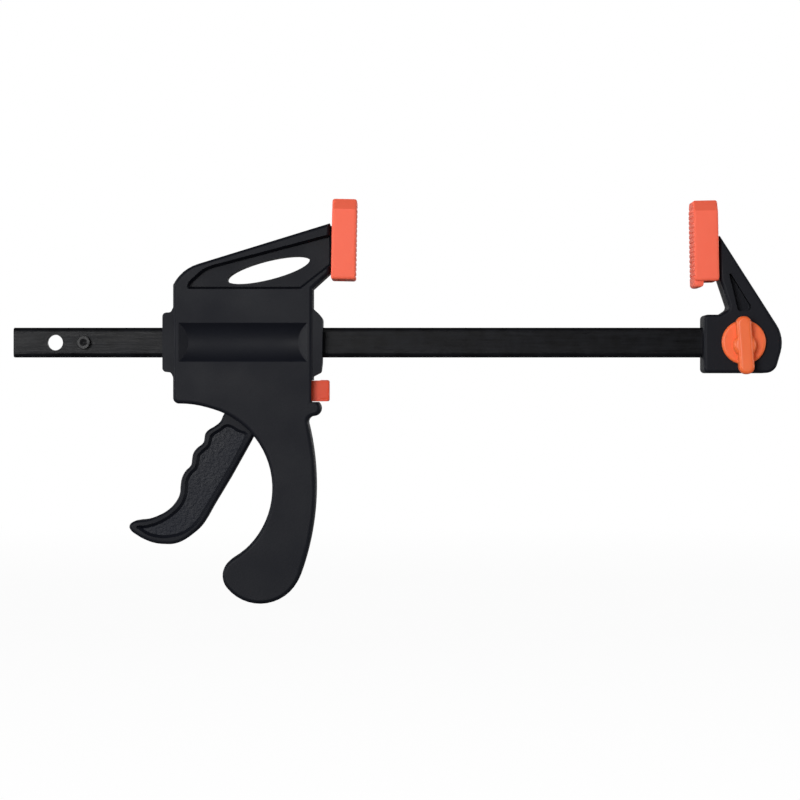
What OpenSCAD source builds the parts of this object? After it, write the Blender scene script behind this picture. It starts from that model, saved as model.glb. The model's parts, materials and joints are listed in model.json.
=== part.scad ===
// Quick release bar clamp: a fixed jaw pinned to the end of a steel bar, and a
// moving jaw with a pistol grip that ratchets along it. Squeezing the trigger
// pushes two drive plates that grip the bar; the tilted brake plate holds it
// until the release button stands it upright.
//
// Frame: origin at the centre of the tail hole of the bar, +X along the bar
// towards the fixed jaw, +Z from the bar towards the jaw tips, +Y to the back.

/* [Bar] */
// Height of the bar stock
bar_h = 8; // [7:0.5:10]
// Thickness of the bar stock
bar_t = 3.2; // [2:0.1:4]
// Distance from the tail hole to the lock pin hole
bar_span = 184.45; // [150:0.05:300]
// Bar beyond the tail hole
tail_len = 11.2; // [8:0.1:20]
// Bar beyond the lock pin hole
nose_len = 6.2; // [5:0.1:8]
// Diameter of the tail hole
tail_hole_d = 4.2; // [3:0.1:5]
// Bevel along the edges of the bar
bar_bevel = 0.7; // [0.1:0.05:0.8]
// Distance from the tail hole to the stop pin
stop_x = 7.8; // [6:0.1:15]
// Diameter of the stop pin
stop_d = 3.5; // [2:0.1:4]
// How far the stop pin stands out of each side of the bar
stop_out = 2; // [1:0.1:3]
// Diameter of the dimple in each end of the stop pin
stop_dimple = 2.2; // [1:0.1:2.6]

/* [Moving jaw housing] */
// Place of the housing along the bar
jaw_x = 32; // [30:0.5:100]
// Length of the body along the bar
body_w = 37.4; // [35:0.1:45]
// Half thickness of the housing
half_t = 7.6; // [7.2:0.1:9]
// Bottom of the body below the bar axis
body_drop = 16.4; // [16:0.1:18]
// Wall of the two large faces
face_wall = 1.6; // [1.2:0.1:2]
// Wall of the narrow sides
side_wall = 2; // [1.4:0.1:2.2]
// Radius of the outer edges of the housing
edge_r = 1.1; // [0.5:0.1:1.4]
// Height of the chamber above the bar axis
chamber_top = 12.6; // [12:0.1:13]
// Reach of the collar at the tail side
collar_tail = 2.85; // [2:0.05:5]
// Reach of the collar at the jaw side
collar_jaw = 2.4; // [2:0.05:4]
// Wall of the collars above and below the bar
collar_wall = 3.9; // [2.5:0.1:4.2]
// Step from the face of the body down to the collars
collar_step = 0.6; // [0.4:0.1:2]
// Running clearance around the bar
bar_fit = 0.15; // [0.1:0.01:0.25]
// Half height of the scoop in each face
scoop_h = 5.2; // [4:0.1:6]
// Depth of the scoop
scoop_depth = 2.2; // [0.8:0.1:2.4]
// Wall behind the scoop
scoop_wall = 1.2; // [1:0.1:1.6]
// Distance from the ends of the scoop to the sides of the body
scoop_end = 1.5; // [1.2:0.1:4]
// Length of the ramps at the ends of the scoop
scoop_ramp = 2.6; // [1:0.1:5]

/* [Jaw arm] */
// Reach of the arm from the tail side of the body to the back of its pad
arm_reach = 41.9; // [40:0.1:48]
// Top of the arm at the pad, above the bar axis
arm_top = 31.8; // [30:0.1:34]
// Bottom of the arm at the pad, above the bar axis
arm_low = 18.4; // [17.5:0.1:20]
// Slope of the top edge of the arm, degrees
arm_slope = 17.1; // [14:0.1:19]
// Radius of the shoulder
shoulder_r = 11; // [8:0.5:14]
// Where the shoulder starts, from the tail side of the body
shoulder_x = 6.6; // [5:0.1:9]
// Height at which the underside of the arm leaves the body
throat_z = 14.3; // [13:0.1:15]
// Height of the raised rim above the web, at the pad
rim_w = 2.9; // [2:0.1:4]
// Depth of the web below the rim
web_depth = 3; // [1:0.1:4]
// Slope of the wall round the web, measured across it
web_draft = 0.7; // [0:0.1:1]
// Slope of the top of the web, degrees
web_slope = 14.8; // [12:0.1:17]
// Radius of the web at the shoulder
web_r = 9; // [6:0.5:12]
// Bottom of the web above the bar axis
web_low = 14.2; // [14:0.1:16]
// Length of the oval window in the web
oval_l = 22.8; // [16:0.1:24]
// Width of the oval window
oval_w = 5.2; // [3:0.1:6]
// Tilt of the oval window, degrees
oval_tilt = 14.2; // [8:0.1:18]
// Centre of the oval window from the tail side of the body
oval_x = 25.4; // [25:0.1:27]
// Centre of the oval window above the bar axis
oval_z = 19.4; // [19:0.1:20]

/* [Pistol grip] */
// Bottom of the grip below the bar axis
grip_len = 69.9; // [66:0.1:75]
// Radius of the palm side of the grip
grip_r = 22; // [20:0.1:23]
// Centre of the palm side from the tail side of the body
grip_x = 4.5; // [3:0.1:6]
// Radius that leads from the bottom of the body into the palm side
knee_r = 26; // [15:1:30]
// Drop from the body to the top of the palm side
grip_gap = 0.6; // [0.3:0.1:1.5]
// Radius of the back of the grip
back_r = 70.3; // [60:0.1:90]
// How far the back of the grip reaches beyond the body
back_out = 0.8; // [0:0.1:2]
// Depth at which the back of the grip reaches furthest
back_z = 38.4; // [34:0.1:42]
// Radius of the round end of the grip
lobe_r = 11.4; // [10:0.1:12]
// Radius of the tip of the grip
tip_r = 5.2; // [4:0.1:6]
// Radius of the lip under the release button
lip_r = 2.15; // [1.8:0.05:2.5]
// Depth of the lip below the bar axis
lip_z = 17.6; // [17:0.1:19]
// Radius of the hollow between the lip and the grip
neck_r = 1.5; // [1:0.1:2.5]
// Depths of the two ribs across the grip
rib_high = 31; // [28:0.5:34]
rib_low = 49; // [44:0.5:52]

/* [Trigger] */
// Pivot of the trigger from the tail side of the body
pivot_x = 22; // [21:0.1:23]
// Depth of the pivot below the bar axis
pivot_z = 14.5; // [14:0.1:15]
// Diameter of the trigger pin
pin_d = 3; // [2:0.1:4]
// Radial clearance of the trigger on its pin
pin_fit = 0.05; // [0.02:0.01:0.1]
// Radius of the hub of the trigger
hub_r = 3.9; // [3.2:0.1:4.2]
// Half thickness of the hub of the trigger
hub_t = 4; // [3:0.1:4.5]
// Squeeze of the trigger, degrees
squeeze = 18; // [10:0.5:18]
// Clearance of the trigger in its slot
slot_gap = 1.2; // [0.8:0.1:1.5]
// Reach of the neck of the trigger ahead of its pivot
neck_front = 10.1; // [9:0.1:11]
// Drop of the neck below the pivot, at the front
neck_drop = 7.4; // [7:0.1:8]
// Drop of the neck below the pivot, at the back
neck_back = 11.6; // [11:0.1:13]
// Gap between the trigger and the faces of the housing
side_gap = 0.3; // [0.2:0.05:0.5]
// Number of finger ridges
fingers = 3; // [2:1:3]
// Step of the finger ridges along the bar
finger_x = 3.35; // [3:0.05:4]
// Step of the finger ridges down the trigger
finger_z = 6.2; // [5.5:0.1:6.5]
// Radius of the finger ridges
finger_r = 1.6; // [1.2:0.1:2]
// Drop from a finger ridge to the hollow below it
finger_hollow = 4; // [3.5:0.1:4.4]
// Reach of the hook ahead of the last finger ridge
hook_reach = 14.2; // [12:0.1:16]
// Drop of the hook below the last finger ridge
hook_drop = 12.6; // [11:0.1:14]
// Height of the end of the hook
hook_h = 2.6; // [2:0.1:4]
// Depth of the belly of the trigger below the hook
belly = 6.2; // [5:0.1:8]
// Length of the belly, from the end of the hook
belly_l = 14; // [12:0.1:16]
// Width of the trigger at the belly
belly_w = 20; // [18:0.1:22]
// Rim round the grained panel of the trigger
panel_rim = 1.7; // [0.8:0.1:2]
// Slope of the wall round the panel, measured across it
panel_draft = 0.5; // [0:0.1:0.7]
// Depth of the grained panel
panel_depth = 1; // [0.3:0.1:1.5]
// Radius of the outer edges of the trigger
trigger_edge = 0.8; // [0.3:0.1:1]

/* [Drive and brake] */
// Thickness of one drive plate
drive_t = 1.5; // [1:0.1:1.8]
// Place of the front of the drive plates, from the tail side of the body
drive_x = 18.5; // [17:0.1:19]
// Thickness of the brake plate
brake_t = 2; // [1.5:0.1:2.4]
// Distance from the jaw side of the body to the brake fulcrum
brake_in = 6.2; // [6:0.1:7]
// Height of the brake fulcrum above the bar axis
brake_z = 10.5; // [10:0.1:11]
// Tilt of the brake plate at rest, degrees
brake_tilt = 4.5; // [3:0.1:5]
// Clearance of the plates round the bar
plate_fit = 0.3; // [0.25:0.01:0.4]
// Steel beside and above the hole of the plates
plate_rim = 1.9; // [1.5:0.1:2]
// Outer diameter of the drive spring
drive_coil_d = 5; // [4:0.1:5.4]
// Wire of the drive spring
drive_wire = 0.6; // [0.4:0.05:0.8]
// Turns of the drive spring
drive_turns = 8; // [5:1:10]
// Depth of the drive spring below the bar axis
drive_coil_z = 7.3; // [7:0.1:7.8]
// Outer diameter of the brake spring
brake_coil_d = 4.6; // [3.6:0.1:5]
// Wire of the brake spring
brake_wire = 0.5; // [0.3:0.05:0.7]
// Turns of the brake spring
brake_turns = 4; // [3:1:5]
// Depth of the brake spring below the bar axis
brake_coil_z = 8.4; // [8:0.1:9]

/* [Release button] */
// Height of the button
button_h = 5.6; // [4:0.1:6]
// Width of the button across the housing
button_w = 7; // [5:0.1:8]
// Depth of the button below the bar axis
button_z = 13; // [12.5:0.1:13.5]
// How far the button stands out of the body
button_out = 4; // [3:0.05:5]
// Depth of the relief round the button
button_relief = 0.5; // [0.2:0.1:1]
// Radius of the corners of the button
button_r = 0.5; // [0.2:0.1:1]
// Running clearance of the button in its slot
button_fit = 0.15; // [0.1:0.01:0.3]

/* [Fixed jaw] */
// Half thickness of the fixed jaw
fixed_t = 7; // [6.5:0.1:8]
// Socket side of the fixed jaw, ahead of the lock pin
fixed_in = 10.6; // [9.5:0.1:13]
// Back of the fixed jaw, behind the lock pin
fixed_out = 10.5; // [10:0.1:13]
// Bottom of the fixed jaw below the bar axis
fixed_drop = 8.2; // [7.5:0.1:10]
// Top of the socket above the bar axis
socket_top = 7.4; // [6.5:0.1:8]
// Top of the slope at the back of the pad, above the bar axis
slope_top = 28.5; // [27:0.1:30]
// Angle of the slope, degrees
slope_angle = 57.4; // [55:0.1:60]
// Radius of the heel behind the knob
heel_r = 9; // [5:0.5:10]
// Depth of the three-cornered pocket
pocket_depth = 3.4; // [1:0.1:4]
// Top of the pocket below the top of the slope
pocket_drop = 8.7; // [8:0.1:12]
// Radius of the edges of the fixed jaw
fixed_edge = 0.9; // [0.4:0.1:1.2]

/* [Locking knob] */
// Diameter of the disc of the knob
knob_d = 11.8; // [10.5:0.1:13]
// Thickness of the disc
disc_t = 1.5; // [1:0.1:2.5]
// Length of the wing
wing_l = 15.5; // [13:0.1:17]
// Width of the wing
wing_w = 3.8; // [3:0.1:4.5]
// Height of the wing above the disc
wing_h = 4; // [2.5:0.1:6]
// Width of the round middle of the wing
wing_hub = 6; // [5:0.1:8]
// Height of the round middle above the disc
hub_h = 2.6; // [1:0.1:4]
// Lean of the wing, degrees
wing_lean = 4; // [0:1:90]
// Diameter of the lock pin
lock_d = 4; // [3:0.1:4.5]
// Diameter of the hub behind the disc
neck_d = 6.4; // [6:0.1:7]
// Diameter across the lugs
lug_d = 9.4; // [8.6:0.1:10]
// Width of the lugs
lug_w = 2.4; // [1.5:0.1:3]
// Thickness of the lugs
lug_t = 1.2; // [0.8:0.1:1.6]
// Wall of the jaw in front of the lugs
key_wall = 1.4; // [1:0.1:1.8]
// Running clearance of the knob in the jaw
knob_fit = 0.2; // [0.1:0.01:0.3]
// Clearance of the lock pin in the jaw and the bar
lock_fit = 0.1; // [0.05:0.01:0.15]

/* [Jaw pads] */
// Thickness of the pads
pad_t = 6.6; // [5.5:0.1:8]
// Half width of the pads
pad_w = 9; // [8:0.1:11]
// Top of the pads above the bar axis
pad_top = 38; // [37:0.1:42]
// Bottom of the pads above the bar axis
pad_low = 16.4; // [15:0.1:17]
// How far the moving pad stands above the fixed one
pad_step = 0.4; // [0:0.1:1]
// Tab below the face of the fixed pad
tab_h = 1.6; // [1:0.1:3]
// Thickness of the tab
tab_t = 2.4; // [1.5:0.1:2.6]
// Radius of the upper corners of the pads
pad_r = 3.2; // [1.5:0.1:5]
// Radius of the edges of the pads
pad_edge = 0.7; // [0.3:0.1:1]
// Lean of the pads towards each other, degrees
toe_in = 1.1; // [0:0.1:2]
// Pitch of the ridges on the faces
ridge_pitch = 1.3; // [1:0.1:2.5]
// Depth of the grooves between the ridges
ridge_depth = 0.35; // [0.2:0.05:0.8]
// Thickness of the end plates inside the pads
plate_t = 2; // [1.5:0.1:2.2]
// Half width of the end plates
plate_w = 7; // [5:0.1:7.2]
// Back wall of the pads
pad_back = 1.6; // [1:0.1:1.8]
// Clearance of the pads on the end plates
pad_fit = 0.1; // [0.05:0.01:0.2]

/* [Screws] */
// Diameter of the screw heads
head_d = 5; // [4:0.1:5.4]
// Height of the screw heads
head_h = 1.8; // [1.2:0.1:2]
// Diameter of the screw shanks
shank_d = 2.6; // [2:0.1:3]
// Radial clearance of the shanks in the halves
shank_fit = 0.03; // [0.02:0.01:0.08]
// Depth of the screw seats below the faces
seat_depth = 2.6; // [2.2:0.1:3]
// Radius of the screw bosses
boss_r = 3; // [2.9:0.1:3.2]
// Wall left in front of the screw tips
tip_wall = 2; // [1.8:0.1:2.6]

/* [Hidden] */

$fn = 48;
arc_step = 9;                                   // largest turn of one facet of an outline
arc_chord = 2;                                  // longest facet of an outline
edge_steps = 4;                                 // facets of a rounded edge
eps = 0.5;                                      // how far a cut runs past a face
plastic = [0.17, 0.17, 0.19];
steel = [0.3, 0.3, 0.32];
bright = [0.7, 0.7, 0.72];
orange = [0.98, 0.42, 0.32];

cavity_t = half_t - face_wall;                  // half width of the inside of the housing
channel_t = half_t - scoop_depth - scoop_wall;  // the same, behind the scoops
collar_t = half_t - collar_step;
collar_h = bar_h / 2 + collar_wall;
arm_rise = tan(arm_slope);
pivot = [pivot_x, -pivot_z];
palm = [grip_x, -body_drop - grip_gap - grip_r];
back_x = body_w + back_out;
brake_x = body_w - brake_in;
back = [back_x - back_r, -back_z];
lobe_z = lobe_r - grip_len;
lobe = [back[0] + sqrt(pow(back_r - lobe_r, 2) - pow(lobe_z - back[1], 2)), lobe_z];
fixed_pad_x = bar_span - fixed_in + 4;          // back of the fixed pad
plate_half = bar_t / 2 + plate_fit + plate_rim; // half width of drive and brake plates
drive_top = bar_h / 2 + plate_fit + plate_rim;
drive_low = -drive_coil_z - drive_coil_d / 2;
brake_low = -button_z - button_h / 2 + 0.8;
brake_tip = brake_x + (brake_z - brake_low) * sin(brake_tilt) + brake_t / 2 * cos(brake_tilt);
brake_seat = brake_x + (brake_z + brake_coil_z) * tan(brake_tilt) - brake_t / 2 / cos(brake_tilt);
rib_x = brake_seat - 5.2;                       // seat of the brake spring
button_in = brake_tip + 0.1;                    // inner end of the button
shank_low = half_t - tip_wall;                  // depth that the long screws reach

// Long screws: left shoulder, lower corner, middle and end of the grip
screw_at = [[4.5, chamber_top - 2.2], [4.5, 3.4 - body_drop], [back_x - 5.9, -back_z - 1.6], lobe];
// Short screw in the web of the arm
web_screw = [arm_reach - 3.1, (arm_top + arm_low) / 2 - 0.4];

function unit(v) = v / norm(v);
function rise_to(low, high) = high < low ? high + 360 : high;
function arc(c, r, a0, a1) =
    let (n = max(2, ceil(abs(a1 - a0) / arc_step), ceil(abs(a1 - a0) * r * PI / 180 / arc_chord)))
    [for (i = [0:n]) let (a = a0 + (a1 - a0) * i / n) c + r * [cos(a), sin(a)]];
function heading(v) = atan2(v[1], v[0]);

// Where two circles cross: side is 1 left of the line from c to e, -1 right of it
function meet(c, r, e, s, side) =
    let (d = norm(e - c), a = (r * r - s * s + d * d) / (2 * d), h = sqrt(r * r - a * a), u = (e - c) / d)
    c + a * u + side * h * [-u[1], u[0]];

// Outline through corners [x, z, radius], each rounded to its own radius
function rounded(p) = [for (i = [0:len(p) - 1])
    let (a = p[(i + len(p) - 1) % len(p)], b = p[i], c = p[(i + 1) % len(p)],
        at = [b[0], b[1]], u = unit(at - [a[0], a[1]]), v = unit([c[0], c[1]] - at),
        turn = atan2(u[0] * v[1] - u[1] * v[0], u * v), r = b[2])
    each (r == 0 || abs(turn) < 1) ? [at] :
        let (start = at - r * tan(abs(turn) / 2) * u, m = start + sign(turn) * r * [-u[1], u[0]],
            a0 = heading(start - m))
        arc(m, r, a0, a0 + turn)];

// An outline without points that repeat
function tidy(p) = [for (i = [0:len(p) - 1]) if (norm(p[i] - p[(i + 1) % len(p)]) > 0.01) p[i]];

// The same outline moved inwards by d; outlines run anticlockwise
function inset(p, d) = [for (i = [0:len(p) - 1])
    let (a = p[(i + len(p) - 1) % len(p)], b = p[i], c = p[(i + 1) % len(p)],
        u = unit(b - a), v = unit(c - b), n = [-u[1], u[0]], m = [-v[1], v[0]])
    b + d * (n + m) / (1 + n * m)];

// Triangles that fill an outline p, q being the corners still to be covered
function side_of(a, b, c) = (b[0] - a[0]) * (c[1] - a[1]) - (b[1] - a[1]) * (c[0] - a[0]);
function holds(p, q, a, b, c) = len([for (k = q) if (k != a && k != b && k != c
    && side_of(p[a], p[b], p[k]) >= 0 && side_of(p[b], p[c], p[k]) >= 0
    && side_of(p[c], p[a], p[k]) >= 0) k]) > 0;
function ear(p, q, i = 0) = let (n = len(q), a = q[(i + n - 1) % n], b = q[i], c = q[(i + 1) % n])
    i >= n - 1 || (side_of(p[a], p[b], p[c]) > 0 && !holds(p, q, a, b, c)) ? i : ear(p, q, i + 1);
function fill(p, q) = len(q) == 3 ? [q] : let (n = len(q), i = ear(p, q))
    concat([[q[(i + n - 1) % n], q[i], q[(i + 1) % n]]],
        fill(p, [for (k = [1:n - 1]) q[(i + k) % n]]));

// Solid on an outline through rings [height, inset]
module lofted(p, rings) {
    n = len(p);
    last = len(rings) - 1;
    corners = [for (i = [0:n - 1]) i];
    polyhedron(
        points = [for (g = rings) each [for (v = inset(p, g[1])) [v[0], v[1], g[0]]]],
        faces = concat(fill(inset(p, rings[0][1]), corners),
            [for (k = [0:last - 1], i = [0:n - 1]) let (j = (i + 1) % n)
                each [[k * n + i, (k + 1) * n + i, (k + 1) * n + j], [k * n + i, (k + 1) * n + j, k * n + j]]],
            [for (t = fill(inset(p, rings[last][1]), corners)) last * n * [1, 1, 1] + [t[2], t[1], t[0]]]));
}

function edge_rings(h, r) = [for (k = [0:edge_steps]) let (a = 90 * k / edge_steps)
    [h - r + r * sin(a), r * (1 - cos(a))]];

// Rings of a recess that narrows towards its floor, for a face at height h
function recess(h, depth, draft) = [[h - depth, draft], [h + eps, -draft * eps / depth]];

// Plate from 0 to h with a rounded upper edge
module pillow(p, h, r) lofted(p, concat([[0, 0]], edge_rings(h, r)));

// Plate from -h to h with both edges rounded
module cushion(p, h, r) {
    rings = edge_rings(h, r);
    lofted(p, concat([for (k = [edge_steps:-1:0]) [-rings[k][0], rings[k][1]]], rings));
}

// Outlines are drawn in X and Z; height runs to the viewer's side, towards -Y
module facing() rotate([90, 0, 0]) children();
module between(d0, d1) facing() translate([0, 0, d0]) linear_extrude(height = d1 - d0) children();
module box(x0, x1, z0, z1) translate([x0, z0]) square([x1 - x0, z1 - z0]);
module rod(at, d0, d1, d) facing() translate([at[0], at[1], d0]) cylinder(h = d1 - d0, d = d);
module on_jaw() translate([jaw_x, 0, 0]) children();

// Coil spring along +X from the origin, with a closed turn at each end
module coil(len, d, wire, turns) {
    per_turn = 12;
    sides = 6;
    n = turns * per_turn;
    pitch = (len - 3 * wire) / (turns - 2);
    function along(t) = t < 1 ? wire * t : t > turns - 1 ? len - 2 * wire + wire * (t - turns + 1) :
        wire + pitch * (t - 1);
    polyhedron(
        points = [for (i = [0:n], k = [0:sides - 1]) let (a = 360 * i / per_turn, b = 360 * k / sides,
            r = d / 2 - wire / 2 + wire / 2 * cos(b))
            [wire / 2 + along(i / per_turn) + wire / 2 * sin(b), r * cos(a), r * sin(a)]],
        faces = concat([[for (k = [0:sides - 1]) k]],
            [for (i = [0:n - 1], k = [0:sides - 1]) let (j = (k + 1) % sides)
                each [[i * sides + k, (i + 1) * sides + k, (i + 1) * sides + j],
                    [i * sides + k, (i + 1) * sides + j, i * sides + j]]],
            [[for (k = [sides - 1:-1:0]) n * sides + k]]));
}

// ---- Bar ----
module bar() color(steel) difference() {
    translate([-tail_len, 0, 0]) rotate([90, 0, 90])
        linear_extrude(height = tail_len + bar_span + nose_len)
        polygon([for (s = [[1, 1], [-1, 1], [-1, -1], [1, -1]])
            each (s[0] * s[1] > 0 ? [[s[0] * bar_t / 2, s[1] * (bar_h / 2 - bar_bevel)],
                [s[0] * (bar_t / 2 - bar_bevel), s[1] * bar_h / 2]]
                : [[s[0] * (bar_t / 2 - bar_bevel), s[1] * bar_h / 2],
                [s[0] * bar_t / 2, s[1] * (bar_h / 2 - bar_bevel)]])]);
    rod([0, 0], -bar_t, bar_t, tail_hole_d);
    rod([stop_x, 0], -bar_t, bar_t, stop_d + 0.04);
    rod([bar_span, 0], -bar_t, bar_t, lock_d + 2 * lock_fit);
}

module stop_pin() color(steel) difference() {
    reach = bar_t / 2 + stop_out;
    rod([stop_x, 0], -reach, reach, stop_d);
    for (s = [0, 1]) mirror([0, s, 0]) facing()
        translate([stop_x, 0, reach - stop_dimple / 4]) cylinder(h = stop_dimple / 2, d1 = 0.2, d2 = 2 * stop_dimple - 0.2);
}

// ---- Housing halves ----
knee = [5.6, -body_drop];                       // where the bottom edge turns into the palm side
palm_top = heading(knee - palm) - acos(grip_r / norm(knee - palm));
tip = meet(palm, grip_r + tip_r, lobe, lobe_r - tip_r, -1);
tip_out = heading(tip - palm);
lobe_in = rise_to(0, heading(tip - lobe));
back_in = heading(lobe - back);
lip = [body_w, -lip_z];
neck = meet(back, back_r + neck_r, lip, lip_r + neck_r, -1);
back_end = heading(neck - back);
shoulder_z = arm_top - (arm_reach - shoulder_x) * arm_rise;
shoulder = [shoulder_x, shoulder_z] + shoulder_r * [sin(arm_slope), -cos(arm_slope)];
shoulder_end = acos(-shoulder[0] / shoulder_r);

function palm_side(grow) = arc(palm, grip_r + grow, palm_top, tip_out);
function grip_end(grow) = concat(
    arc(tip, tip_r - grow, tip_out + 180, lobe_in),
    arc(lobe, lobe_r - grow, lobe_in, back_in + 360));

housing_outline = tidy(concat(
    arc([1.6, 1.6 - body_drop], 1.6, 180, 270),
    arc([knee[0] - knee_r * tan((90 - palm_top) / 2), knee[1] - knee_r], knee_r, 90, palm_top), palm_side(0), grip_end(0),
    arc(back, back_r, back_in, back_end),
    arc(neck, neck_r, back_end + 180, heading(lip - neck)),
    arc(lip, lip_r, heading(neck - lip), 90),
    [[body_w, throat_z], [arm_reach, arm_low], [arm_reach, arm_top]],
    arc(shoulder, shoulder_r, 90 + arm_slope, shoulder_end)));

root = 5;                                       // how far the collars run into the body
tail_collar = rounded([[root, collar_h + 1.8, 0], [0.2, collar_h + 1.8, 0], [-0.6, collar_h + 0.1, 1],
    [-collar_tail, collar_h, 1.1], [-collar_tail, -collar_h, 1.1], [-0.6, -collar_h - 0.1, 1],
    [0.2, -collar_h - 1.8, 0], [root, -collar_h - 1.8, 0]]);
jaw_collar = rounded([[body_w - root, -collar_h - 1.3, 0], [body_w - 0.2, -collar_h - 1.3, 0],
    [body_w + collar_jaw - 0.3, -collar_h - 0.1, 1], [body_w + collar_jaw, -collar_h + 2.4, 2],
    [body_w + collar_jaw + 0.2, collar_h - 1.6, 1.8], [body_w + collar_jaw - 0.9, collar_h - 0.2, 1.2],
    [body_w - 0.2, collar_h + 1.3, 0], [body_w - root, collar_h + 1.3, 0]]);

web_top = arm_top - rim_w;                      // top of the web at the pad
web_rise = tan(web_slope);
web_outline = rounded([[3.4, web_low, 0.75], [body_w - 3.3, web_low, 0.9],
    [arm_reach + eps, arm_low + 2.3, 0], [arm_reach + eps, web_top + eps * web_rise, 0],
    [8.4, web_top - (arm_reach - 8.4) * web_rise, web_r], [4.2, web_low + 2, 1.6]]);
oval = [for (a = [0:10:350]) [oval_l / 2 * cos(a), oval_w / 2 * sin(a)]];

module at_oval() translate([oval_x, oval_z]) rotate(oval_tilt) children();

// Long scoop: a round trough that ends in two ramps
module scoop() {
    r = (scoop_h * scoop_h + scoop_depth * scoop_depth) / (2 * scoop_depth);
    turn = asin(scoop_h / r);
    foot = scoop_end + scoop_ramp;
    floor_y = scoop_depth - half_t;
    intersection() {
        translate([scoop_end - eps, 0, 0]) rotate([90, 0, 90]) linear_extrude(height = body_w - 2 * scoop_end + 2 * eps)
            polygon(concat([[-half_t - eps, scoop_h]], [for (v = arc([floor_y - r, 0], r, turn, -turn)) v],
                [[-half_t - eps, -scoop_h]]));
        translate([0, 0, -scoop_h - 1]) linear_extrude(height = 2 * scoop_h + 2)
            polygon([[scoop_end - eps / 2, -half_t - eps], [scoop_end, -half_t], [foot, floor_y + eps / 10],
                [foot, floor_y + eps], [body_w - foot, floor_y + eps], [body_w - foot, floor_y + eps / 10],
                [body_w - scoop_end, -half_t], [body_w - scoop_end + eps / 2, -half_t - eps]]);
    }
}

// Slot through the palm side that the trigger swings in
function swung(v) = [v[0] * cos(squeeze) - v[1] * sin(squeeze), v[0] * sin(squeeze) + v[1] * cos(squeeze)];
slot_foot = pivot + swung([-neck_drop / 2, -1.5 * neck_back]) + [slot_gap, 0];
module trigger_slot() {
    top = side_wall - body_drop;
    front = pivot + [-neck_front - slot_gap, -neck_drop + slot_gap];
    heel = pivot + swung([0, -neck_back]) + [slot_gap, 0];
    polygon([[front[0] + 1.5, top], front, slot_foot - [5.5, 1.6], slot_foot, heel, [heel[0], top]]);
}

// Hollow of the grip, and the ribs that cross it
module grip_hollow() {
    top = neck[1] + side_wall;
    edge = slot_foot[0] + side_wall;
    polygon(concat(
        arc(palm, grip_r + side_wall, heading([edge, slot_foot[1]] - palm), tip_out), grip_end(side_wall),
        arc(back, back_r - side_wall, back_in, back_end - 2),
        [[back_x - 3, top], [edge + 1.3, top], [edge + 1.3, slot_foot[1] + 9], [edge, slot_foot[1] + 1]]));
}
module grip_ribs() {
    for (z = [-rib_high, -rib_low]) between(1, cavity_t + 0.1) box(palm[0] + 14, back_x - 1, z, z + 1.2);
}

// Everything that is hollow inside one half, up to the parting face
module hollow() {
    between(-eps, channel_t) box(side_wall, body_w - side_wall, -scoop_h - eps, scoop_h + eps);
    between(-eps, cavity_t) {
        box(side_wall, body_w - side_wall, scoop_h + eps - 0.1, chamber_top);
        box(side_wall, body_w - side_wall, 2 - body_drop, 0.1 - scoop_h - eps);
        box(pivot[0] + 6, body_w - side_wall, neck[1] + side_wall - 0.1, 3 - body_drop);
        trigger_slot();
        grip_hollow();
    }
    // Hollow of the arm, with a wall round the window
    between(-eps, half_t - web_depth - face_wall) difference() {
        polygon([[8, web_low + 1.2], [body_w - 4.5, web_low + 1.2], [arm_reach - 1.6, arm_low + 4.2],
            [arm_reach - 1.6, web_top - 1.4], [10.5, web_top - 1.4 - (arm_reach - 10.5) * web_rise]]);
        at_oval() polygon(inset(oval, -1.5));
        translate(web_screw) circle(r = boss_r);
    }
}

// Ribs and bosses that hold the inner pieces
module inner_ribs() {
    top = chamber_top + 0.5;
    // stop behind the drive plates
    between(0, cavity_t + 0.1) box(drive_x + 0.15, drive_x + 1.6, drive_top - 1.6, top);
    // notch round the fulcrum of the brake plate
    for (s = [-1, 1]) between(0, cavity_t + 0.1)
        box(brake_x + s * (brake_t / 2 + 0.95) - 0.7, brake_x + s * (brake_t / 2 + 0.95) + 0.7,
            brake_z - 1.8, top);
    // seat of the brake spring
    between(0, channel_t + 0.1) box(rib_x - 1.3, rib_x, -brake_coil_z - 2.6, -bar_h / 2 - 0.8);
    between(channel_t, cavity_t + 0.1) box(rib_x - 1.3, rib_x, -brake_coil_z - 2.6, -scoop_h - 0.4);
    // bosses of the trigger pin and the screws
    rod(pivot, hub_t + side_gap, cavity_t + 0.1, 2 * hub_r - 0.6);
    for (p = screw_at) rod(p, 0, cavity_t + 0.1, 2 * boss_r);
}

// One half, drawn for the viewer's side
module half_shell() {
    difference() {
        union() {
            difference() {
                union() {
                    facing() pillow(housing_outline, half_t, edge_r);
                    between(0, collar_t) polygon(tail_collar);
                    between(0, collar_t) polygon(jaw_collar);
                }
                scoop();
                facing() lofted(web_outline, recess(half_t, web_depth, web_draft));
                hollow();
            }
            inner_ribs();
            end_plate_half(arm_reach);
        }
        between(-eps, half_t + eps) at_oval() polygon(oval);
        // passage of the bar
        between(-eps, bar_t / 2 + bar_fit)
            box(-collar_tail - eps, body_w + collar_jaw + eps, -bar_h / 2 - bar_fit, bar_h / 2 + bar_fit);
        // slot of the release button
        between(-eps, button_w / 2 + button_fit)
            box(body_w - side_wall - 0.1, body_w + button_out, -button_z - button_h / 2 - button_fit,
                -button_z + button_h / 2 + button_fit);
        between(-eps, half_t + eps) box(body_w - button_relief, body_w + button_out,
            -button_z - button_h / 2 - button_fit, -button_z + button_h / 2 + button_fit);
        rod(pivot, -eps, cavity_t + 0.9, pin_d + 0.04);
    }
}

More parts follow.
